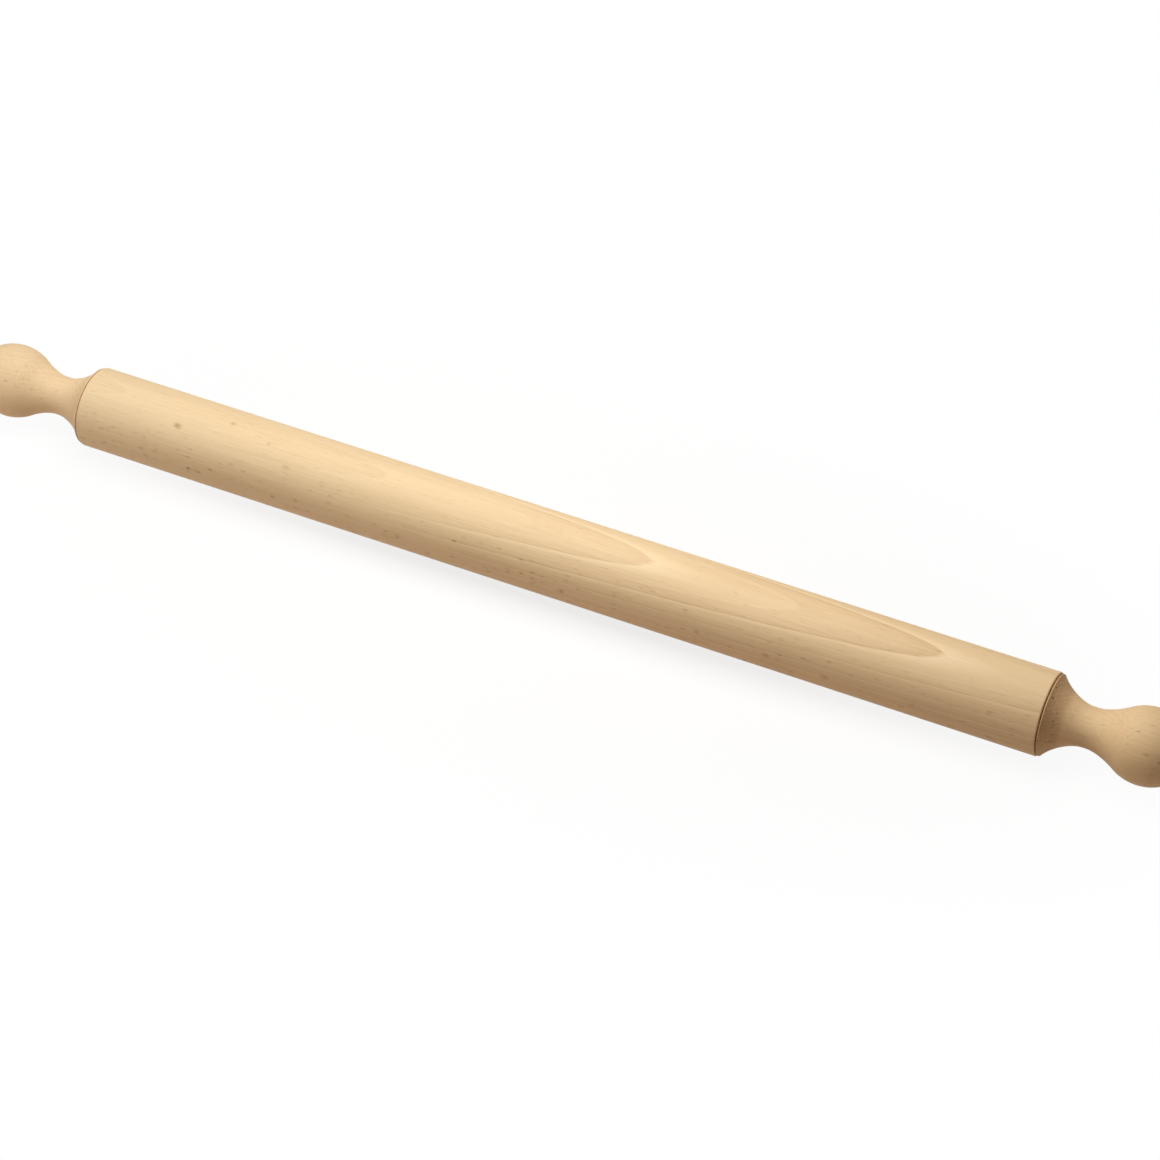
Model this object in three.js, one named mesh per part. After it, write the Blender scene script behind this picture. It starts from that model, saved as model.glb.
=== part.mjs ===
// Rolling pin: a plain turned barrel with a revolving handle at each end.
// Millimetres, +X along the pin, +Z up, origin at the middle of the barrel's axis.
// Each handle runs on two flanged bushes, on a steel stud that is screwed into the end of the barrel.
import * as THREE from 'three';

// Barrel
const BARREL_LENGTH = 500;
const BARREL_DIAMETER = 40;
const BARREL_EDGE_RADIUS = 0.7;

// Handle: foot, cove, neck, shoulder and knob, from the barrel outwards
const FOOT_DIAMETER = 39;
const FOOT_EDGE_RADIUS = 0.3;
const COVE_LENGTH = 18;
const COVE_RIM_ANGLE = THREE.MathUtils.degToRad(54);
const NECK_DIAMETER = 19.4;
const NECK_LENGTH = 1.5;
const SHOULDER_LENGTH = 15;
const KNOB_DIAMETER = 36.5;
const KNOB_LENGTH = 41.5;
const KNOB_SHOULDER_ANGLE = THREE.MathUtils.degToRad(-35);
// How far each curve holds its end directions, as a share of its own length
const CURVE_TENSION = 0.33;

// Axle stud: screwed end, plain shank, shouldered end for the nut
const AXLE_DIAMETER = 8;
const AXLE_GRIP = 45;
const AXLE_CHAMFER = 1;
const STUD_END_DIAMETER = 6;
const STUD_END_PROUD = 1.5;
const PILOT_ROOM = 1;
const DRILL_POINT_ANGLE = THREE.MathUtils.degToRad(59);

// Bushes, whose flanges fit the foot's recess and the knob's counterbore
const BUSH_WALL = 2;
const BUSH_LENGTH = 14;
const BUSH_FLANGE_WIDTH = 2.4;
const BUSH_FLANGE_THICKNESS = 1.5;
const BORE_RELIEF = 0.8;

// Washers, which are narrower than the flanges that run on them
const WASHER_THICKNESS = 1.2;
const THRUST_WASHER_INSET = 0.4;
const RETAINING_WASHER_INSET = 1.5;

// Lock nut, and the plug that closes the counterbore over it
const NUT_ACROSS_FLATS = 10;
const NUT_HEIGHT = 6;
const PLUG_DEPTH = 5.5;
const PLUG_ROOM = 1.5;

// Clearances: between pieces that turn on each other, and between pieces that are pressed, glued or clamped
const HANDLE_GAP = 0.6;
const RUNNING_CLEARANCE = 0.3;
const SEAT_CLEARANCE = 0.1;

// Facets of every turned surface, whose flats lie on the stated diameter
const TURN_SEGMENTS = 40;
const EDGE_STEPS = 3;
const COVE_STEPS = 8;
const SHOULDER_STEPS = 6;
const KNOB_STEPS = 12;
const PLUG_STEPS = 4;

// Radii
const barrelRadius = BARREL_DIAMETER / 2;
const footRadius = FOOT_DIAMETER / 2;
const neckRadius = NECK_DIAMETER / 2;
const knobRadius = KNOB_DIAMETER / 2;
const axleRadius = AXLE_DIAMETER / 2;
const studEndRadius = STUD_END_DIAMETER / 2;
const pilotRadius = axleRadius + SEAT_CLEARANCE;
const boreRadius = axleRadius + BORE_RELIEF;
const bushBoreRadius = axleRadius + RUNNING_CLEARANCE;
const bushRadius = bushBoreRadius + BUSH_WALL;
const bushSeatRadius = bushRadius + SEAT_CLEARANCE;
const flangeRadius = bushRadius + BUSH_FLANGE_WIDTH;
const flangeSeatRadius = flangeRadius + SEAT_CLEARANCE;
const plugRadius = flangeSeatRadius - SEAT_CLEARANCE;
const thrustWasherRadius = flangeRadius - THRUST_WASHER_INSET;
const retainingWasherRadius = flangeRadius - RETAINING_WASHER_INSET;
const nutBoreRadius = studEndRadius + RUNNING_CLEARANCE;

// Places along one end of the pin, measured outwards from the end of the barrel
const thrustWasherAt = SEAT_CLEARANCE;
const innerFlangeAt = thrustWasherAt + WASHER_THICKNESS + RUNNING_CLEARANCE;
const footAt = HANDLE_GAP;
const footRecessFloor = innerFlangeAt + BUSH_FLANGE_THICKNESS + SEAT_CLEARANCE;
const innerSeatEnd = footRecessFloor + BUSH_LENGTH;
const coveAt = footAt + FOOT_EDGE_RADIUS;
const coveEnd = footAt + COVE_LENGTH;
const neckEnd = coveEnd + NECK_LENGTH;
const knobHalfLength = KNOB_LENGTH / 2;
const knobCentre = neckEnd + SHOULDER_LENGTH - knobHalfLength * Math.sin(KNOB_SHOULDER_ANGLE);
const knobMouthAngle = Math.acos(flangeSeatRadius / knobRadius);
const plugAt = knobCentre + knobHalfLength * Math.sin(knobMouthAngle) - PLUG_DEPTH;
const studTip = plugAt - PLUG_ROOM;
const nutAt = studTip - STUD_END_PROUD - NUT_HEIGHT;
const retainingWasherAt = nutAt - SEAT_CLEARANCE - WASHER_THICKNESS;
const studShoulder = retainingWasherAt - SEAT_CLEARANCE;
const outerFlangeEnd = retainingWasherAt - RUNNING_CLEARANCE;
const counterboreFloor = outerFlangeEnd - BUSH_FLANGE_THICKNESS - SEAT_CLEARANCE;
const outerSeatEnd = counterboreFloor - BUSH_LENGTH;
const pilotDepth = AXLE_GRIP + PILOT_ROOM;

const at = (radius, along) => new THREE.Vector2(radius, along);

// Revolves an outline of (radius, distance along the axis) about Y, with a flat facet facing each of X and Z
function turned(outline) {
  const halfFacet = Math.PI / TURN_SEGMENTS;
  const corners = outline.map((point) => at(point.x / Math.cos(halfFacet), point.y));
  return new THREE.LatheGeometry(corners, TURN_SEGMENTS, halfFacet);
}

// A ring with a plain rectangular section, from distance 0 to its thickness
function ring(innerRadius, outerRadius, thickness) {
  const start = at(innerRadius, 0);
  return turned([start, at(outerRadius, 0), at(outerRadius, thickness), at(innerRadius, thickness), start]);
}

// The knob's outline between two angles on its ellipse, where 0 is its widest place
function knobArc(startAngle, endAngle, steps) {
  const ellipse = new THREE.EllipseCurve(0, knobCentre, knobRadius, knobHalfLength, startAngle, endAngle);
  return ellipse.getPoints(steps);
}

// One end of the barrel, from the bottom of its pilot hole to the barrel's side
function barrelEnd() {
  const end = BARREL_LENGTH / 2;
  const drillPoint = pilotRadius / Math.tan(DRILL_POINT_ANGLE);
  const edge = new THREE.EllipseCurve(
    barrelRadius - BARREL_EDGE_RADIUS, end - BARREL_EDGE_RADIUS,
    BARREL_EDGE_RADIUS, BARREL_EDGE_RADIUS, Math.PI / 2, 0, true,
  );
  return [
    at(0, end - pilotDepth - drillPoint),
    at(pilotRadius, end - pilotDepth),
    at(pilotRadius, end),
    ...edge.getPoints(EDGE_STEPS),
  ];
}

function barrelGeometry() {
  const upper = barrelEnd().reverse();
  const lower = barrelEnd().map((point) => at(point.x, -point.y));
  return turned([...lower, ...upper]);
}

// The handle's outside: foot edge, cove, neck, shoulder and knob, up to the mouth of the counterbore
function handleOutside() {
  const footEdge = new THREE.EllipseCurve(
    footRadius - FOOT_EDGE_RADIUS, coveAt,
    FOOT_EDGE_RADIUS, FOOT_EDGE_RADIUS, -Math.PI / 2, 0,
  );
  const covePull = CURVE_TENSION * COVE_LENGTH;
  const cove = new THREE.CubicBezierCurve(
    at(footRadius, coveAt),
    at(footRadius - covePull * Math.sin(COVE_RIM_ANGLE), coveAt + covePull * Math.cos(COVE_RIM_ANGLE)),
    at(neckRadius, coveEnd - covePull),
    at(neckRadius, coveEnd),
  );
  const knob = knobArc(KNOB_SHOULDER_ANGLE, knobMouthAngle, KNOB_STEPS);
  const shoulderPull = CURVE_TENSION * SHOULDER_LENGTH;
  const knobSlope = at(
    -knobRadius * Math.sin(KNOB_SHOULDER_ANGLE),
    knobHalfLength * Math.cos(KNOB_SHOULDER_ANGLE),
  );
  const shoulder = new THREE.CubicBezierCurve(
    at(neckRadius, neckEnd),
    at(neckRadius, neckEnd + shoulderPull),
    knob[0].clone().addScaledVector(knobSlope.normalize(), -shoulderPull),
    knob[0],
  );
  return [
    ...footEdge.getPoints(EDGE_STEPS),
    ...cove.getPoints(COVE_STEPS).slice(1),
    ...shoulder.getPoints(SHOULDER_STEPS),
    ...knob.slice(1),
  ];
}

// The handle's stepped bore: counterbore, two bush seats with a relieved bore between, and the foot's recess
function handleBore() {
  return [
    at(flangeSeatRadius, counterboreFloor),
    at(bushSeatRadius, counterboreFloor),
    at(bushSeatRadius, outerSeatEnd - SEAT_CLEARANCE),
    at(boreRadius, outerSeatEnd - SEAT_CLEARANCE),
    at(boreRadius, innerSeatEnd + SEAT_CLEARANCE),
    at(bushSeatRadius, innerSeatEnd + SEAT_CLEARANCE),
    at(bushSeatRadius, footRecessFloor),
    at(flangeSeatRadius, footRecessFloor),
    at(flangeSeatRadius, footAt),
  ];
}

function handleGeometry() {
  const outline = [...handleOutside(), ...handleBore()];
  return turned([...outline, outline[0]]);
}

function studGeometry() {
  return turned([
    at(0, -AXLE_GRIP),
    at(axleRadius - AXLE_CHAMFER, -AXLE_GRIP),
    at(axleRadius, AXLE_CHAMFER - AXLE_GRIP),
    at(axleRadius, studShoulder),
    at(studEndRadius, studShoulder),
    at(studEndRadius, studTip - AXLE_CHAMFER),
    at(studEndRadius - AXLE_CHAMFER, studTip),
    at(0, studTip),
  ]);
}

// A bush with its flange's free face at distance 0 and its body pointing along the axis
function bushGeometry() {
  const end = BUSH_FLANGE_THICKNESS + BUSH_LENGTH;
  const start = at(bushBoreRadius, 0);
  return turned([
    start,
    at(flangeRadius, 0),
    at(flangeRadius, BUSH_FLANGE_THICKNESS),
    at(bushRadius, BUSH_FLANGE_THICKNESS),
    at(bushRadius, end),
    at(bushBoreRadius, end),
    start,
  ]);
}

function nutGeometry() {
  const cornerRadius = NUT_ACROSS_FLATS / Math.sqrt(3);
  const corners = Array.from({ length: 6 }, (_, corner) => {
    const angle = corner * Math.PI / 3;
    return at(cornerRadius * Math.cos(angle), cornerRadius * Math.sin(angle));
  });
  const hexagon = new THREE.Shape(corners);
  hexagon.holes.push(new THREE.Path().absarc(0, 0, nutBoreRadius, 0, 2 * Math.PI, true));
  const nut = new THREE.ExtrudeGeometry(hexagon, { depth: NUT_HEIGHT, bevelEnabled: false });
  return nut.rotateX(-Math.PI / 2);
}

// The plug's outer end follows the knob's outline
function plugGeometry() {
  const dome = knobArc(Math.acos(plugRadius / knobRadius), Math.PI / 2, PLUG_STEPS);
  dome[PLUG_STEPS].x = 0;
  return turned([at(0, plugAt), at(plugRadius, plugAt), ...dome]);
}

const beech = () => new THREE.MeshStandardMaterial({ color: 0xdcba8a, roughness: 0.55, metalness: 0 });
const steel = () => new THREE.MeshStandardMaterial({ color: 0xb9bbbd, roughness: 0.35, metalness: 1 });
const nylon = () => new THREE.MeshStandardMaterial({ color: 0xe9e6dc, roughness: 0.5, metalness: 0 });

function piece(name, geometry, material, along = 0) {
  const mesh = new THREE.Mesh(geometry, material);
  mesh.name = name;
  mesh.position.y = along;
  return mesh;
}

// One end of the pin, built along +Y from the end of the barrel
function handleAssembly(side) {
  const outerBush = piece(`${side}_outer_bush`, bushGeometry(), nylon(), outerFlangeEnd);
  outerBush.rotation.x = Math.PI;
  const group = new THREE.Group();
  group.add(
    piece(`${side}_handle`, handleGeometry(), beech()),
    piece(`${side}_axle_stud`, studGeometry(), steel()),
    piece(
      `${side}_thrust_washer`,
      ring(bushBoreRadius, thrustWasherRadius, WASHER_THICKNESS), steel(), thrustWasherAt,
    ),
    piece(`${side}_inner_bush`, bushGeometry(), nylon(), innerFlangeAt),
    outerBush,
    piece(
      `${side}_retaining_washer`,
      ring(nutBoreRadius, retainingWasherRadius, WASHER_THICKNESS), steel(), retainingWasherAt,
    ),
    piece(`${side}_lock_nut`, nutGeometry(), steel(), nutAt),
    piece(`${side}_end_plug`, plugGeometry(), beech()),
  );
  return group;
}

const rollingPin = new THREE.Group();

const barrel = piece('barrel', barrelGeometry(), beech());
barrel.rotation.z = -Math.PI / 2;
rollingPin.add(barrel);

for (const [side, outwards] of [['left', -1], ['right', 1]]) {
  const assembly = handleAssembly(side);
  assembly.position.x = outwards * BARREL_LENGTH / 2;
  assembly.rotation.z = -outwards * Math.PI / 2;
  rollingPin.add(assembly);
}

export default rollingPin;
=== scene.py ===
# Looks of a beech rolling pin with revolving handles, built round its CAD frame.
# Metres, +X along the pin, +Z up, origin at the middle of the barrel's axis.
import math
from typing import NamedTuple

import bmesh
import bpy
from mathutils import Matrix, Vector


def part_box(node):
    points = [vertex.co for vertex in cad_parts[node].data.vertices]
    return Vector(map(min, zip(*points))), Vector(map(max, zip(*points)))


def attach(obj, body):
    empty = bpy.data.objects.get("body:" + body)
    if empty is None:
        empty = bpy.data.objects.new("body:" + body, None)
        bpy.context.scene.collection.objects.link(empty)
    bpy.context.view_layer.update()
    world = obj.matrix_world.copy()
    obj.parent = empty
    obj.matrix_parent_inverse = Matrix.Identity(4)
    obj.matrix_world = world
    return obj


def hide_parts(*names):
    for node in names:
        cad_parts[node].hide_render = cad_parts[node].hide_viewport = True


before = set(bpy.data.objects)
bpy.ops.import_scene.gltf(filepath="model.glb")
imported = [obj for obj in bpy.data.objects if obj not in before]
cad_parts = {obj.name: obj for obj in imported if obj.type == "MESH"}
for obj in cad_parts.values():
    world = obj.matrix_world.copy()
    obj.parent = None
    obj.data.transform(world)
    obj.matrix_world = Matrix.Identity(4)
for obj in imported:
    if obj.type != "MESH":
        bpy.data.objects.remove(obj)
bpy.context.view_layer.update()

MM = 0.001

# Barrel
BARREL_EDGE = 0.7 * MM
PILOT_RADIUS = 4.1 * MM
PILOT_ROOM = 1 * MM
DRILL_POINT_ANGLE = math.radians(59)

# Handle, from the barrel outwards
FOOT_EDGE = 0.3 * MM
COVE_LENGTH = 18 * MM
COVE_RIM_ANGLE = math.radians(54)
NECK_RADIUS = 9.7 * MM
NECK_LENGTH = 1.5 * MM
SHOULDER_LENGTH = 15 * MM
KNOB_RADIUS = 18.25 * MM
KNOB_HALF_LENGTH = 20.75 * MM
KNOB_SHOULDER_ANGLE = math.radians(-35)
CURVE_TENSION = 0.33
BORE_RADIUS = 4.8 * MM
MOUTH_EDGE = 0.25 * MM

# Bushes, studs, washers and nuts
BUSH_BORE_RADIUS = 4.3 * MM
BUSH_WALL = 2 * MM
BUSH_FLANGE_THICKNESS = 1.5 * MM
BUSH_CHAMFER = 0.5 * MM
STUD_END_RADIUS = 3 * MM
STUD_CHAMFER = 1 * MM
SCREW_PITCH = 3 * MM
SCREW_DEPTH = 0.8 * MM
SCREW_TIP_LENGTH = 4 * MM
SCREW_RUN_OUT = 6 * MM
NUT_THREAD_PITCH = 1 * MM
NUT_THREAD_DEPTH = 0.55 * MM
THREAD_STEEPNESS = 1.4  # above 1, so that the root of a thread is flat
WASHER_EDGE = 0.2 * MM
NUT_BORE_RADIUS = 3.2 * MM
NUT_CHAMFER_ANGLE = math.radians(30)
NUT_COLLAR_SHARE = 0.3
NUT_COLLAR_WALL = 0.7 * MM
NUT_RING_RADIUS = 3.9 * MM
SEAT_CLEARANCE = 0.1 * MM

# Smoothness of the turned surfaces
WOOD_SEGMENTS = 192
METAL_SEGMENTS = 72
EDGE_STEPS = 6
CURVE_STEPS = 32
KNOB_STEPS = 56
THREAD_STEPS = 10
SHARP_ANGLE = math.radians(32)
WELD_DISTANCE = 0.001 * MM

# Places and radii that the frame gives, on the right end of the pin
barrel_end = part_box("barrel")[1].x
barrel_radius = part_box("barrel")[1].z
foot_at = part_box("right_handle")[0].x
foot_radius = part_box("right_handle")[1].z
plug_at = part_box("right_end_plug")[0].x
plug_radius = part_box("right_end_plug")[1].z
knob_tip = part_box("right_end_plug")[1].x
knob_centre = knob_tip - KNOB_HALF_LENGTH
inner_bush = [corner.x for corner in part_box("right_inner_bush")]
outer_bush = [corner.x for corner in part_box("right_outer_bush")]
flange_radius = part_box("right_inner_bush")[1].z
bush_radius = BUSH_BORE_RADIUS + BUSH_WALL
stud = [corner.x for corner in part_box("right_axle_stud")]
axle_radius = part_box("right_axle_stud")[1].z
nut = [corner.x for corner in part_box("right_lock_nut")]
nut_apothem = min(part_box("right_lock_nut")[1].yz)
retaining_washer_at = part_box("right_retaining_washer")[0].x


# Outlines, as points (distance along the pin, radius)
def arc(centre, radii, start, end, steps):
    """Points on an ellipse: angle 0 is its widest place, and a right angle its outer end."""
    angles = [start + (end - start) * step / steps for step in range(steps + 1)]
    return [centre + Vector((radii[0] * math.sin(a), radii[1] * math.cos(a))) for a in angles]


def bend(start, start_way, end, end_way, pull, steps):
    """A smooth curve that leaves start and reaches end in the given directions."""
    leave = start + start_way * pull
    arrive = end - end_way * pull
    points = []
    for step in range(1, steps):
        t = step / steps
        u = 1 - t
        points.append(u**3 * start + 3 * u * u * t * leave + 3 * u * t * t * arrive + t**3 * end)
    return points


def heading(angle):
    """The direction along an outline at an angle of arc()."""
    return Vector((math.cos(angle), -math.sin(angle)))


def barrel_outline():
    pilot_end = stud[0] - PILOT_ROOM
    drill_point = PILOT_RADIUS / math.tan(DRILL_POINT_ANGLE)
    edge_centre = Vector((barrel_end - BARREL_EDGE, barrel_radius - BARREL_EDGE))
    half = [
        *arc(edge_centre, (BARREL_EDGE, BARREL_EDGE), 0, math.pi / 2, EDGE_STEPS),
        Vector((barrel_end, PILOT_RADIUS)),
        Vector((pilot_end, PILOT_RADIUS)),
        Vector((pilot_end - drill_point, 0)),
    ]
    return [Vector((-point.x, point.y)) for point in reversed(half)] + half


def handle_outside():
    rim_centre = Vector((foot_at + FOOT_EDGE, foot_radius - FOOT_EDGE))
    rim = arc(rim_centre, (FOOT_EDGE, FOOT_EDGE), -math.pi / 2, COVE_RIM_ANGLE, EDGE_STEPS)
    neck_start = Vector((foot_at + COVE_LENGTH, NECK_RADIUS))
    neck_end = neck_start + Vector((NECK_LENGTH, 0))
    level = heading(0)
    rim_way = heading(COVE_RIM_ANGLE)
    cove = bend(rim[-1], rim_way, neck_start, level, CURVE_TENSION * COVE_LENGTH, CURVE_STEPS)
    mouth_angle = math.acos((plug_radius + SEAT_CLEARANCE + MOUTH_EDGE) / KNOB_RADIUS)
    radii = (KNOB_HALF_LENGTH, KNOB_RADIUS)
    knob = arc(Vector((knob_centre, 0)), radii, KNOB_SHOULDER_ANGLE, mouth_angle, KNOB_STEPS)
    knob_way = Vector((
        KNOB_HALF_LENGTH * math.cos(KNOB_SHOULDER_ANGLE),
        -KNOB_RADIUS * math.sin(KNOB_SHOULDER_ANGLE),
    )).normalized()
    shoulder = bend(neck_end, level, knob[0], knob_way, CURVE_TENSION * SHOULDER_LENGTH, CURVE_STEPS)
    return [*rim, *cove, neck_start, neck_end, *shoulder, *knob]


def handle_bore(mouth):
    """The stepped bore, from the mouth of the counterbore back to the foot."""
    flange_seat = plug_radius + SEAT_CLEARANCE
    bush_seat = bush_radius + SEAT_CLEARANCE
    counterbore_floor = outer_bush[1] - BUSH_FLANGE_THICKNESS - SEAT_CLEARANCE
    outer_seat_end = outer_bush[0] - SEAT_CLEARANCE
    inner_seat_end = inner_bush[1] + SEAT_CLEARANCE
    recess_floor = inner_bush[0] + BUSH_FLANGE_THICKNESS + SEAT_CLEARANCE
    return [Vector(point) for point in (
        (mouth.x - MOUTH_EDGE, flange_seat),
        (counterbore_floor, flange_seat),
        (counterbore_floor, bush_seat),
        (outer_seat_end, bush_seat),
        (outer_seat_end, BORE_RADIUS),
        (inner_seat_end, BORE_RADIUS),
        (inner_seat_end, bush_seat),
        (recess_floor, bush_seat),
        (recess_floor, flange_seat),
        (foot_at, flange_seat),
    )]


def handle_outline():
    outside = handle_outside()
    return outside + handle_bore(outside[-1])


def plug_outline():
    """A short plug whose outer end carries on the knob's outline, with a fine chamfer at the seam."""
    rim_angle = math.acos((plug_radius - MOUTH_EDGE) / KNOB_RADIUS)
    radii = (KNOB_HALF_LENGTH, KNOB_RADIUS)
    dome = arc(Vector((knob_centre, 0)), radii, rim_angle, math.pi / 2, EDGE_STEPS)
    dome[-1].y = 0
    return [
        Vector((plug_at, 0)),
        Vector((plug_at, plug_radius - MOUTH_EDGE)),
        Vector((plug_at + MOUTH_EDGE, plug_radius)),
        Vector((dome[0].x - MOUTH_EDGE, plug_radius)),
        *dome,
    ]


def bush_outline(flange_face, body_end):
    """A flanged bush with a lead-in chamfer at the end of its body."""
    way = math.copysign(1, body_end - flange_face)
    under_flange = flange_face + way * BUSH_FLANGE_THICKNESS
    lead_in = body_end - way * BUSH_CHAMFER
    bore_mouth = flange_face + way * BUSH_CHAMFER / 2
    return [Vector(point) for point in (
        (bore_mouth, BUSH_BORE_RADIUS),
        (flange_face, BUSH_BORE_RADIUS + BUSH_CHAMFER / 2),
        (flange_face, flange_radius - WASHER_EDGE),
        (flange_face + way * WASHER_EDGE, flange_radius),
        (under_flange - way * WASHER_EDGE, flange_radius),
        (under_flange, flange_radius - WASHER_EDGE),
        (under_flange, bush_radius),
        (lead_in, bush_radius),
        (body_end, bush_radius - BUSH_CHAMFER),
        (body_end, BUSH_BORE_RADIUS),
    )]


def washer_outline(node, bore_radius):
    """A stamped washer: one face has eased edges, the other is square."""
    low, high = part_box(node)
    start, end = (abs(x) for x in sorted((low.x, high.x), key=abs))
    radius = high.z
    return [Vector(point) for point in (
        (start, bore_radius),
        (start, radius),
        (end - WASHER_EDGE, radius),
        (end, radius - WASHER_EDGE),
        (end, bore_radius + WASHER_EDGE),
        (end - WASHER_EDGE, bore_radius),
    )]


def thread(start, end, angle, pitch, crest, depth, run_out):
    """One line along a right-hand thread, at an angle round the axis. Its ends fade out over run_out."""
    rows = round((end - start) / pitch * THREAD_STEPS)
    points = []
    for row in range(rows + 1):
        along = start + (end - start) * row / rows
        phase = (along / pitch - angle / (2 * math.pi)) % 1
        valley = min(1, abs(2 * phase - 1) * THREAD_STEEPNESS)
        fade = min(1, (along - start) / run_out, (end - along) / run_out)
        points.append(Vector((along, crest - depth * valley * fade)))
    return points


def stud_outline(angle):
    """Wood screw, plain shank, and a thinner threaded end for the nut."""
    shoulder = retaining_washer_at - SEAT_CLEARANCE
    screw_start = stud[0] + SCREW_TIP_LENGTH
    screw = thread(screw_start, barrel_end, angle, SCREW_PITCH, axle_radius, SCREW_DEPTH, SCREW_RUN_OUT)
    nut_thread_end = stud[1] - STUD_CHAMFER
    nut_thread = thread(
        shoulder, nut_thread_end, angle, NUT_THREAD_PITCH,
        STUD_END_RADIUS, NUT_THREAD_DEPTH, NUT_THREAD_PITCH,
    )
    return [
        Vector((stud[0], 0)),
        Vector((stud[0], axle_radius / 2)),
        *screw,
        Vector((shoulder, axle_radius)),
        *nut_thread,
        Vector((stud[1], STUD_END_RADIUS - STUD_CHAMFER)),
        Vector((stud[1], 0)),
    ]


def nut_outline(angle):
    """A hexagon with chamfered corners, and a round collar that holds a nylon ring."""
    sixth = math.pi / 3
    hexagon = nut_apothem / math.cos(angle % sixth - sixth / 2)
    chamfer = (hexagon - nut_apothem) * math.tan(NUT_CHAMFER_ANGLE)
    face_radius = nut_apothem - WASHER_EDGE
    collar_at = nut[1] - NUT_COLLAR_SHARE * (nut[1] - nut[0])
    collar_radius = NUT_RING_RADIUS + NUT_COLLAR_WALL
    ring_seat = NUT_RING_RADIUS + SEAT_CLEARANCE
    slope = WASHER_EDGE + chamfer
    return [Vector(point) for point in (
        (nut[0], NUT_BORE_RADIUS),
        (nut[0], face_radius),
        (nut[0] + slope, hexagon),
        (collar_at - slope, hexagon),
        (collar_at, face_radius),
        (collar_at, collar_radius),
        (nut[1] - WASHER_EDGE, collar_radius),
        (nut[1], collar_radius - WASHER_EDGE),
        (nut[1], ring_seat),
        (collar_at, ring_seat),
        (collar_at, NUT_BORE_RADIUS),
    )]


def nut_ring_outline():
    collar_at = nut[1] - NUT_COLLAR_SHARE * (nut[1] - nut[0])
    start, end = collar_at + SEAT_CLEARANCE, nut[1] - WASHER_EDGE
    return [Vector(point) for point in (
        (start, NUT_BORE_RADIUS),
        (start, NUT_RING_RADIUS),
        (end, NUT_RING_RADIUS),
        (end, NUT_BORE_RADIUS),
    )]


# Meshes
def swept(name, outline_at, segments, side, closed):
    """Sweeps an outline round the pin's axis.

    The left side is the right one turned by half a turn about Z.
    """
    shape = bmesh.new()
    lines = []
    for segment in range(segments):
        angle = 2 * math.pi * segment / segments
        lines.append([
            shape.verts.new((side * p.x, side * p.y * math.cos(angle), p.y * math.sin(angle)))
            for p in outline_at(angle)
        ])
    for line, following in zip(lines, lines[1:] + lines[:1]):
        steps = len(line) if closed else len(line) - 1
        for step in range(steps):
            after = (step + 1) % len(line)
            shape.faces.new((line[step], line[after], following[after], following[step]))
    bmesh.ops.remove_doubles(shape, verts=shape.verts, dist=WELD_DISTANCE)
    bmesh.ops.recalc_face_normals(shape, faces=shape.faces)
    mesh = bpy.data.meshes.new(name)
    shape.to_mesh(mesh)
    shape.free()
    mesh.shade_smooth()
    mesh.set_sharp_from_angle(angle=SHARP_ANGLE)
    made = bpy.data.objects.new(name, mesh)
    bpy.context.scene.collection.objects.link(made)
    return made


def dress(made, material, body, slot, *nodes):
    """Gives a finished mesh its material and its place in the frame."""
    made.data.materials.append(material)
    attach(made, body)
    if nodes:
        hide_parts(*nodes)


# Materials
MIX_SOCKETS = {"VECTOR": (4, 5, 1), "RGBA": (6, 7, 2)}  # first value, second value and result
MIDDLE_TONE = 0.5


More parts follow.
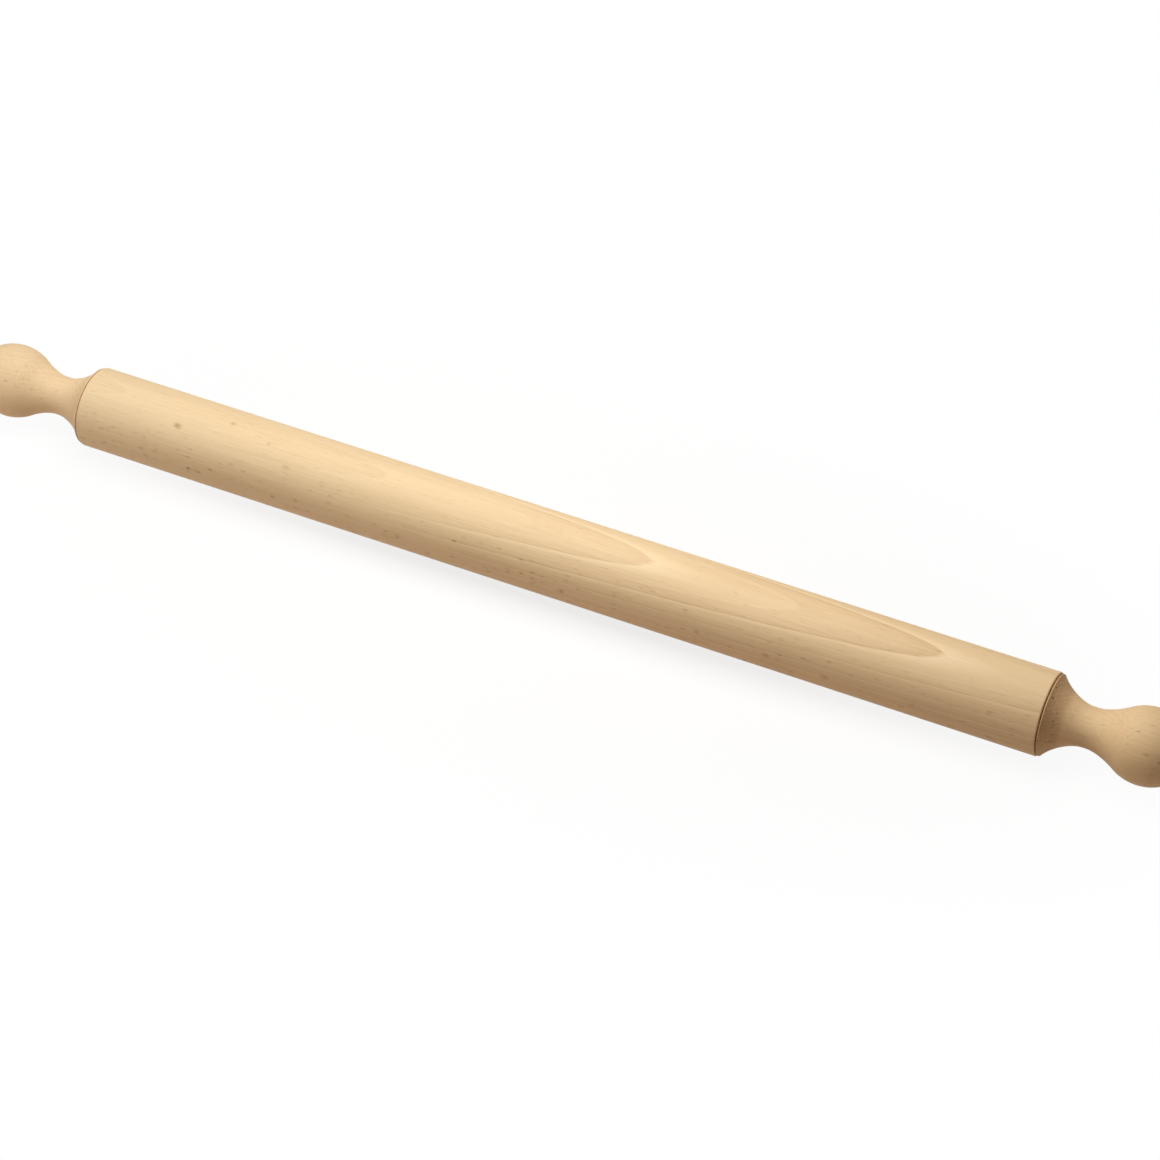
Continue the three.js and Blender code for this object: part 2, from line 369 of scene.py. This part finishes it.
class Nodes:
    """Fills the node tree of a new material or world, and links the nodes as they are made."""

    def __init__(self, owner):
        owner.use_nodes = True
        self.owner = owner
        self.tree = owner.node_tree
        self.tree.nodes.clear()

    def add(self, kind, inputs, output=0, **settings):
        node = self.tree.nodes.new(kind)
        for setting, value in settings.items():
            setattr(node, setting, value)
        for socket, value in inputs.items():
            if isinstance(value, bpy.types.NodeSocket):
                self.tree.links.new(value, node.inputs[socket])
            else:
                node.inputs[socket].default_value = value
        return node.outputs[output]

    def math(self, operation, *values):
        return self.add("ShaderNodeMath", dict(enumerate(values)), operation=operation)

    def total(self, first, *others):
        for other in others:
            first = self.math("ADD", first, other)
        return first

    def vector(self, operation, *values, output=0):
        return self.add("ShaderNodeVectorMath", dict(enumerate(values)), output, operation=operation)

    def split(self, vector):
        return self.add("ShaderNodeSeparateXYZ", {0: vector}).node.outputs

    def fit(self, value, low, high, new_low, new_high):
        """Carries a value from one range to another, smoothly and without leaving it."""
        inputs = dict(enumerate((value, low, high, new_low, new_high)))
        return self.add("ShaderNodeMapRange", inputs, interpolation_type="SMOOTHSTEP")

    def mix(self, kind, share, first, second):
        """Goes from the first value to the second as the share goes from 0 to 1."""
        first_socket, second_socket, result = MIX_SOCKETS[kind]
        inputs = {0: share, first_socket: first, second_socket: second}
        return self.add("ShaderNodeMix", inputs, result, data_type=kind)

    def noise(self, place, size, swing=0.5, detail=2.0):
        """Noise about zero, with features of a size along the three axes."""
        stretched = self.vector("DIVIDE", place, size)
        value = self.add("ShaderNodeTexNoise", {"Vector": stretched, "Scale": 1.0, "Detail": detail})
        return self.math("MULTIPLY_ADD", value, 2 * swing, -swing)

    def ramp(self, factor, stops):
        colour = self.add("ShaderNodeValToRGB", {0: factor})
        elements = colour.node.color_ramp.elements
        while len(elements) < len(stops):
            elements.new(1.0)
        for element, (position, shade) in zip(elements, stops):
            element.position = position
            element.color = (*shade, 1.0)
        return colour

    def finish(self, bump_height, bump_distance, **inputs):
        bump = {"Height": bump_height, "Distance": bump_distance, "Strength": 1.0}
        inputs["Normal"] = self.add("ShaderNodeBump", bump)
        named = {name.replace("_", " "): value for name, value in inputs.items()}
        surface = self.add("ShaderNodeBsdfPrincipled", named)
        self.add_output(surface)
        return self.owner

    def add_output(self, surface, kind="ShaderNodeOutputMaterial"):
        output = self.tree.nodes.new(kind)
        self.tree.links.new(surface, output.inputs["Surface"])


class Grain(NamedTuple):
    """How the tree's rings run through one turned blank."""

    facing: float  # turn about the pin that brings the side where the rings surface to +Z
    slope: float  # rise of the rings along the pin
    ring: float  # width of a ring
    bow: float  # bow of a ring across the blank, per metre
    tip: float  # place along the pin where a ring reaches the surface
    radius: float  # radius of that surface
    contrast: float  # how strongly the rings show
    end_depth: float  # how much darker the ends of the fibres are
    tint: tuple  # colour of this blank beside the others
    seed: float  # keeps two blanks from looking alike
    blush: tuple = (1.0, 1.0, 1.0)  # tint that comes in towards the right end
    flank_shade: float = 0.0  # painted shade: how much darker the steep flank of the cove is painted, as if in shadow


class Mark(NamedTuple):
    """A dark fleck or pin knot on the surface."""

    along: float  # place along the pin
    facing: float  # turn about the pin from +Z to the mark
    length: float
    width: float
    depth: float  # how much darker its middle is


def grey(value):
    return (value, value, value)


# Tones of beech, from a dark fleck through late and early wood to cream
BEECH_TONES = (
    (0.0, (0.36, 0.21, 0.10)),
    (0.25, (0.67, 0.475, 0.268)),
    (0.5, (0.80, 0.612, 0.366)),
    (0.75, (0.87, 0.685, 0.428)),
    (1.0, (0.93, 0.76, 0.52)),
)

# Sizes of the wood's features: along the pin, across it and through it
SWAY_SIZE = (160 * MM, 16 * MM, 16 * MM)
WAVER_SIZE = (30 * MM, 2 * MM, 2 * MM)
DRIFT_SIZE = (120 * MM, 22 * MM, 22 * MM)
FIBRE_SIZE = (45 * MM, 0.8 * MM, 0.8 * MM)
PORE_SIZE = (6 * MM, 0.18 * MM, 0.18 * MM)
DASH_CELL = (7 * MM, 0.8 * MM, 3.2 * MM)
PATCH_CELL = (6 * MM, 2.4 * MM, 2.4 * MM)
FLECK_EDGE_SIZE = (1.6 * MM, 0.4 * MM, 0.4 * MM)
MARK_EDGE_SIZE = (2 * MM, 0.6 * MM, 0.6 * MM)

# How far a ring strays from its place, as a share of its width
SWAY = 0.12
WAVER = 0.02

# How much each feature moves the tone, on the scale of the tones of beech
DRIFT = 0.10
FIBRE = 0.16
PORE = 0.14
DASH = 0.18
PATCH = 0.34

# How the strength of the rings changes from one to the next
RING_TURN = 1.9  # step of a cosine, in radians
RING_SWING = 0.3

# Where the rings fade, measured to the left from the tip, and what is left of them there
FADE_START = 50 * MM
FADE_END = 190 * MM
FADED_SHARE = 0.15

# Flecks and marks: shares of the cells that stay empty, soft edges, and how ragged these are
EMPTY_DASHES = 0.5
EMPTY_PATCHES = 0.35
FLECK_CORE = 0.05
FLECK_REACH = 0.4
FLECK_RAGGED = 0.12
MARK_CORE = 0.1
MARK_RAGGED = 0.25

# Where patches come in beside the face of the rings, as shares of the blank's radius
PATCHES_START = 0.4
PATCHES_FULL = 0.9

# How far a surface leans towards the pin's ends where end grain starts to show and shows fully
END_GRAIN_START = 0.3
END_GRAIN_FULL = 0.75

# Where the painted shade on the steep flank of a cove fades out into the neck, from the foot of the
# handle
FLANK_SHADE_START = 6.5 * MM
FLANK_SHADE_END = 10 * MM

# Surface of the sanded wood
BEECH_ROUGHNESS = 0.62
BEECH_ROUGHNESS_SWING = 0.12
BEECH_RELIEF = 0.02 * MM
BEECH_SPECULAR = 0.25

# A ring starts pale and ends in a dark line, with a faint false ring half way
RING_PROFILE = (
    (0.0, grey(0.88)),
    (0.05, grey(0.76)),
    (0.18, grey(0.54)),
    (0.40, grey(0.50)),
    (0.51, grey(0.57)),
    (0.53, grey(0.44)),
    (0.66, grey(0.49)),
    (0.88, grey(0.42)),
    (0.98, grey(0.30)),
    (1.0, grey(0.88)),
)


def ring_tone(n, place, grain):
    """Pale and dark bands where the rings come to the surface, some rings stronger than others."""
    along, across, up = n.split(place)
    sway = n.noise(place, SWAY_SIZE, SWAY * grain.ring, 1.0)
    waver = n.noise(place, WAVER_SIZE, WAVER * grain.ring)
    rise = n.math("MULTIPLY_ADD", along, grain.slope, grain.radius - grain.slope * grain.tip)
    bowed = n.math("MULTIPLY", n.math("POWER", n.math("ABSOLUTE", across), 2.0), -grain.bow)
    depth = n.math("SUBTRACT", n.total(rise, bowed, sway, waver), up)
    count = n.math("DIVIDE", depth, grain.ring)
    profile = n.ramp(n.math("FRACT", count), RING_PROFILE)
    swing = n.math("COSINE", n.math("MULTIPLY_ADD", n.math("FLOOR", count), RING_TURN, -RING_TURN / 2))
    uneven = n.math("MULTIPLY_ADD", swing, RING_SWING, 1 - RING_SWING)
    faded = FADED_SHARE * grain.contrast
    strength = n.fit(along, grain.tip - FADE_END, grain.tip - FADE_START, faded, grain.contrast)
    weight = n.math("MULTIPLY", uneven, strength)
    return n.math("MULTIPLY", n.math("SUBTRACT", profile, MIDDLE_TONE), weight)


def flecks(n, place, cell, empty):
    """Dark spots where rays of the wood reach the surface, one to a cell.

    A share of the cells stays empty.
    """
    stretched = n.vector("DIVIDE", place, cell)
    distance = n.add("ShaderNodeTexVoronoi", {"Vector": stretched, "Scale": 1.0})
    ragged = n.math("ADD", distance, n.noise(place, FLECK_EDGE_SIZE, FLECK_RAGGED))
    chosen = n.fit(n.split(distance.node.outputs["Color"])[0], empty, 1.0, 0.0, 1.0)
    return n.math("MULTIPLY", n.fit(ragged, FLECK_CORE, FLECK_REACH, 1.0, 0.0), chosen)


def mark_mask(n, coords, mark):
    """A soft dark spot, drawn out along the grain."""
    direction = Vector((0, -math.sin(mark.facing), math.cos(mark.facing)))
    centre = Vector((mark.along, 0, 0)) + barrel_radius * direction
    apart = n.vector("SUBTRACT", coords, centre)
    size = (mark.length / 2, mark.width / 2, mark.width / 2)
    distance = n.vector("LENGTH", n.vector("DIVIDE", apart, size), output="Value")
    ragged = n.math("ADD", distance, n.noise(coords, MARK_EDGE_SIZE, MARK_RAGGED))
    return n.fit(ragged, MARK_CORE, 1.0, mark.depth, 0.0)


def beech(name, grain, marks=()):
    n = Nodes(bpy.data.materials.new(name))
    coords = n.add("ShaderNodeTexCoord", {}, "Object")
    along = n.split(coords)[0]
    turn = {"Vector": coords, "Angle": grain.facing}
    blank = n.add("ShaderNodeVectorRotate", turn, rotation_type="X_AXIS")
    place = n.vector("ADD", blank, grey(grain.seed))
    rings = ring_tone(n, blank, grain)
    drift = n.noise(place, DRIFT_SIZE, DRIFT, 1.0)
    fibres = n.noise(place, FIBRE_SIZE, FIBRE, 3.0)
    pores = n.noise(place, PORE_SIZE, PORE)
    dashes = flecks(n, place, DASH_CELL, EMPTY_DASHES)
    across = n.math("ABSOLUTE", n.split(blank)[1])
    beside = n.fit(across, PATCHES_START * grain.radius, PATCHES_FULL * grain.radius, 0.0, 1.0)
    patches = n.math("MULTIPLY", flecks(n, place, PATCH_CELL, EMPTY_PATCHES), beside)
    spots = n.math("MULTIPLY_ADD", dashes, -DASH, n.math("MULTIPLY", patches, -PATCH))
    lean = n.math("ABSOLUTE", n.split(coords.node.outputs["Normal"])[0])
    end_tone = MIDDLE_TONE - grain.end_depth
    end_grain = n.fit(lean, END_GRAIN_START, END_GRAIN_FULL, MIDDLE_TONE, end_tone)
    from_middle = n.math("ABSOLUTE", along)
    # Painted shade: the steep flank of the cove is darkened as if in shadow, fading out into the neck
    flank_shade = n.fit(from_middle, foot_at + FLANK_SHADE_START, foot_at + FLANK_SHADE_END, -grain.flank_shade, 0.0)
    tone = n.total(rings, drift, fibres, pores, end_grain, spots, flank_shade)
    for mark in marks:
        tone = n.math("SUBTRACT", tone, mark_mask(n, coords, mark))
    rightward = n.fit(along, -barrel_end, barrel_end, 0.0, 1.0)
    blush = n.mix("VECTOR", rightward, grey(1.0), grain.blush)
    tint = n.vector("MULTIPLY", blush, grain.tint)
    colour = n.vector("MULTIPLY", n.ramp(tone, BEECH_TONES), tint)
    height = n.math("SUBTRACT", n.math("ADD", fibres, pores), dashes)
    open_grain = n.math("ADD", fibres, dashes)
    roughness = n.math("MULTIPLY_ADD", open_grain, BEECH_ROUGHNESS_SWING, BEECH_ROUGHNESS)
    return n.finish(
        height, BEECH_RELIEF, Base_Color=colour, Roughness=roughness, Specular_IOR_Level=BEECH_SPECULAR,
    )


# Zinc plate and moulded nylon
ZINC_TURNING_SIZE = (0.12 * MM, 9 * MM, 9 * MM)
ZINC_SPANGLE_SIZE = grey(1.1 * MM)
ZINC_TONES = ((0.2, (0.50, 0.52, 0.54)), (0.8, (0.70, 0.70, 0.69)))
ZINC_ROUGHNESS = 0.34
ZINC_ROUGHNESS_SWING = 0.2
NYLON_CLOUD_SIZE = grey(5 * MM)
NYLON_SKIN_SIZE = grey(0.15 * MM)
NYLON_TONES = ((0.2, (0.80, 0.78, 0.71)), (0.8, (0.90, 0.885, 0.83)))
NYLON_ROUGHNESS = 0.48
NYLON_ROUGHNESS_SWING = 0.15
FINE_RELIEF = 0.01 * MM


def zinc_steel():
    """Bright zinc plate: fine marks round the axis, and a faint spangle."""
    n = Nodes(bpy.data.materials.new("zinc_steel"))
    coords = n.add("ShaderNodeTexCoord", {}, "Object")
    turning = n.noise(coords, ZINC_TURNING_SIZE)
    spangle = n.noise(coords, ZINC_SPANGLE_SIZE)
    tone = n.math("MULTIPLY_ADD", n.math("ADD", turning, spangle), 0.5, MIDDLE_TONE)
    colour = n.ramp(tone, ZINC_TONES)
    roughness = n.math("MULTIPLY_ADD", spangle, ZINC_ROUGHNESS_SWING, ZINC_ROUGHNESS)
    return n.finish(turning, FINE_RELIEF, Base_Color=colour, Roughness=roughness, Metallic=1.0)


def nylon():
    """Natural moulded nylon: off-white, with cloudy tone and a fine matte skin."""
    n = Nodes(bpy.data.materials.new("nylon"))
    coords = n.add("ShaderNodeTexCoord", {}, "Object")
    cloud = n.noise(coords, NYLON_CLOUD_SIZE)
    skin = n.noise(coords, NYLON_SKIN_SIZE)
    colour = n.ramp(n.math("ADD", cloud, MIDDLE_TONE), NYLON_TONES)
    roughness = n.math("MULTIPLY_ADD", skin, NYLON_ROUGHNESS_SWING, NYLON_ROUGHNESS)
    return n.finish(skin, FINE_RELIEF, Base_Color=colour, Roughness=roughness)


# The arches on the barrel surface a little towards the camera from its top
BARREL_GRAIN = Grain(
    facing=math.radians(-12), slope=0.03, ring=4.245 * MM, bow=0.008 / MM, tip=56.5 * MM,
    radius=barrel_radius, contrast=1.0, end_depth=0.0, tint=grey(1.0), seed=0.0,
    blush=(1.04, 1.0, 0.965),
)
LEFT_GRAIN = Grain(
    facing=math.radians(40), slope=0.02, ring=1.9 * MM, bow=0.012 / MM, tip=-280 * MM,
    radius=KNOB_RADIUS, contrast=0.4, end_depth=0.08, tint=(1.02, 1.0, 0.99), seed=0.31,
)
RIGHT_GRAIN = Grain(
    facing=math.radians(40), slope=-0.015, ring=1.7 * MM, bow=0.015 / MM, tip=300 * MM,
    radius=KNOB_RADIUS, contrast=0.4, end_depth=0.1, tint=(1.02, 0.955, 0.885), seed=0.57,
    # painted shade on the steep flank of the right cove
    flank_shade=0.21,
)

# Marks on the side that the photograph shows, from the left
BARREL_MARKS = (
    Mark(-213 * MM, math.radians(84), 5 * MM, 2.5 * MM, 0.25),
    Mark(-196 * MM, math.radians(35), 7 * MM, 4.5 * MM, 0.42),
    Mark(-187 * MM, math.radians(94), 3 * MM, 5 * MM, 0.25),
    Mark(-170 * MM, math.radians(6), 5 * MM, 4.5 * MM, 0.22),
    Mark(-148 * MM, math.radians(20), 4 * MM, 3 * MM, 0.16),
    Mark(-140 * MM, math.radians(94), 4 * MM, 3 * MM, 0.3),
    Mark(-135 * MM, math.radians(44), 7 * MM, 4 * MM, 0.2),
    Mark(-72 * MM, math.radians(92), 4 * MM, 4 * MM, 0.3),
    Mark(14.5 * MM, math.radians(95), 5 * MM, 4 * MM, 0.38),
    Mark(84 * MM, math.radians(88), 5 * MM, 3.5 * MM, 0.35),
    Mark(119 * MM, math.radians(90), 7 * MM, 3.5 * MM, 0.32),
    Mark(148 * MM, math.radians(96), 8 * MM, 3.5 * MM, 0.35),
)


# The pin
def build_barrel():
    outline = barrel_outline()
    made = swept("barrel_turned", lambda angle: outline, WOOD_SEGMENTS, 1, False)
    dress(made, beech("beech_barrel", BARREL_GRAIN, BARREL_MARKS), "barrel", "beech_barrel", "barrel")


def build_end(end, side, wood, steel, plastic):
    """One handle with its bearings, and the hardware that it turns on."""
    handle_body = f"{end}_handle"

    def turned(piece, outline, segments, material, body, slot, closed=True):
        made = swept(f"{end}_{piece}_detailed", lambda angle: outline, segments, side, closed)
        dress(made, material, body, slot, f"{end}_{piece}")

    turned("handle", handle_outline(), WOOD_SEGMENTS, wood, handle_body, "beech_handle")
    turned("end_plug", plug_outline(), WOOD_SEGMENTS, wood, handle_body, "beech_plug", closed=False)
    inner = bush_outline(*inner_bush)
    outer = bush_outline(*reversed(outer_bush))
    turned("inner_bush", inner, METAL_SEGMENTS, plastic, handle_body, "nylon")
    turned("outer_bush", outer, METAL_SEGMENTS, plastic, handle_body, "nylon")
    thrust = washer_outline(f"{end}_thrust_washer", BUSH_BORE_RADIUS)
    retaining = washer_outline(f"{end}_retaining_washer", NUT_BORE_RADIUS)
    turned("thrust_washer", thrust, METAL_SEGMENTS, steel, "barrel", "zinc_steel")
    turned("retaining_washer", retaining, METAL_SEGMENTS, steel, "barrel", "zinc_steel")
    stud_piece = swept(f"{end}_axle_stud_detailed", stud_outline, METAL_SEGMENTS, side, False)
    dress(stud_piece, steel, "barrel", "zinc_steel", f"{end}_axle_stud")
    nut_piece = swept(f"{end}_lock_nut_detailed", nut_outline, METAL_SEGMENTS, side, True)
    dress(nut_piece, steel, "barrel", "zinc_steel", f"{end}_lock_nut")
    ring = nut_ring_outline()
    ring_piece = swept(f"{end}_lock_nut_ring", lambda angle: ring, METAL_SEGMENTS, side, True)
    dress(ring_piece, plastic, "barrel", "nylon")


# The stage
FLOOR_SIZE = 6.0
FLOOR_CELLS = 4
FLOOR_COLOUR = (0.95, 0.94, 0.92, 1.0)
FLOOR_BOUNCE = (0.60, 0.49, 0.42, 1.0)
FLOOR_NEAR = 0.02
FLOOR_FAR = 0.2
FLOOR_NEAR_WHITE = 0.8
FLOOR_OVAL = (0.5, 1.0, 1.0)  # lengths along the pin count half
SKY_FILL = (0.075, 0.045, 0.022, 1.0)
WHITE = (1.0, 1.0, 1.0, 1.0)


def seen_directly(n):
    """1 for rays that show the backdrop itself, and 0 for rays that light the pin."""
    shown = n.add("ShaderNodeLightPath", {}, "Is Camera Ray")
    rays = shown.node.outputs
    for kind in ("Is Glossy Ray", "Is Transmission Ray"):
        shown = n.math("MAXIMUM", shown, rays[kind])
    return shown


def build_floor():
    """A floor that looks white away from the pin, keeps its shadow and lights it softly from below."""
    n = Nodes(bpy.data.materials.new("pale_floor"))
    shown = seen_directly(n)
    colour = n.mix("RGBA", shown, FLOOR_BOUNCE, FLOOR_COLOUR)
    matte = n.add("ShaderNodeBsdfDiffuse", {"Color": colour})
    white = n.add("ShaderNodeEmission", {"Color": WHITE, "Strength": 1.0})
    flattened = n.vector("MULTIPLY", n.add("ShaderNodeTexCoord", {}, "Object"), FLOOR_OVAL)
    away = n.vector("LENGTH", flattened, output="Value")
    white_share = n.fit(away, FLOOR_NEAR, FLOOR_FAR, FLOOR_NEAR_WHITE, 1.0)
    share = n.math("MULTIPLY", shown, white_share)
    n.add_output(n.add("ShaderNodeMixShader", {0: share, 1: matte, 2: white}))
    shape = bmesh.new()
    bmesh.ops.create_grid(shape, x_segments=FLOOR_CELLS, y_segments=FLOOR_CELLS, size=FLOOR_SIZE / 2)
    bmesh.ops.translate(shape, verts=shape.verts, vec=(0, 0, -barrel_radius))
    mesh = bpy.data.meshes.new("floor")
    shape.to_mesh(mesh)
    shape.free()
    floor = bpy.data.objects.new("floor", mesh)
    floor.data.materials.append(n.owner)
    bpy.context.scene.collection.objects.link(floor)


def build_world():
    world = bpy.data.worlds.new("studio")
    n = Nodes(world)
    sky = n.mix("RGBA", seen_directly(n), SKY_FILL, WHITE)
    n.add_output(n.add("ShaderNodeBackground", {"Color": sky}), "ShaderNodeOutputWorld")
    bpy.context.scene.world = world


# A soft box close above the pin, left of its middle, and weak cards beside its two ends
KEY_PLACE = Vector((-0.095, 0.015, 0.68))
KEY_SIZE = (0.65, 0.5)
KEY_POWER = 5.9
CARD_SIZE = (0.3, 0.2)
LEFT_CARD_PLACE = Vector((-0.62, -0.30, 0.10))
LEFT_CARD_POWER = 0.55
RIGHT_CARD_PLACE = Vector((0.62, -0.30, 0.10))
RIGHT_CARD_POWER = 0.06


def build_lamp(name, place, size, power):
    """A soft lamp that faces the middle of the pin."""
    data = bpy.data.lights.new(name, "AREA")
    data.shape = "RECTANGLE"
    data.size, data.size_y = size
    data.energy = power
    lamp = bpy.data.objects.new(name, data)
    lamp.location = place
    lamp.rotation_euler = place.to_track_quat("Z", "Y").to_euler()
    lamp.visible_camera = False
    bpy.context.scene.collection.objects.link(lamp)


# The camera at the photograph's viewing angle, with its place along its own axes
CAMERA_AZIMUTH = math.radians(25.5)
CAMERA_ELEVATION = math.radians(42.9)
CAMERA_DISTANCE = 1.7663
CAMERA_RIGHT = 0.0133
CAMERA_UP = -0.01246
CAMERA_LENS = 115.8
CAMERA_SENSOR = 36.0


def build_camera():
    data = bpy.data.cameras.new("camera")
    data.lens = CAMERA_LENS
    data.sensor_width = CAMERA_SENSOR
    camera = bpy.data.objects.new("camera", data)
    camera.rotation_euler = (math.pi / 2 - CAMERA_ELEVATION, 0, CAMERA_AZIMUTH)
    offset = Vector((CAMERA_RIGHT, CAMERA_UP, CAMERA_DISTANCE))
    camera.location = camera.rotation_euler.to_matrix() @ offset
    bpy.context.scene.collection.objects.link(camera)
    bpy.context.scene.camera = camera


build_barrel()
steel, plastic = zinc_steel(), nylon()
build_end("left", -1, beech("beech_left_handle", LEFT_GRAIN), steel, plastic)
build_end("right", 1, beech("beech_right_handle", RIGHT_GRAIN), steel, plastic)
build_floor()
build_world()
build_lamp("key", KEY_PLACE, KEY_SIZE, KEY_POWER)
build_lamp("left_card", LEFT_CARD_PLACE, CARD_SIZE, LEFT_CARD_POWER)
build_lamp("right_card", RIGHT_CARD_PLACE, CARD_SIZE, RIGHT_CARD_POWER)
build_camera()
bpy.context.scene.view_settings.view_transform = "Standard"
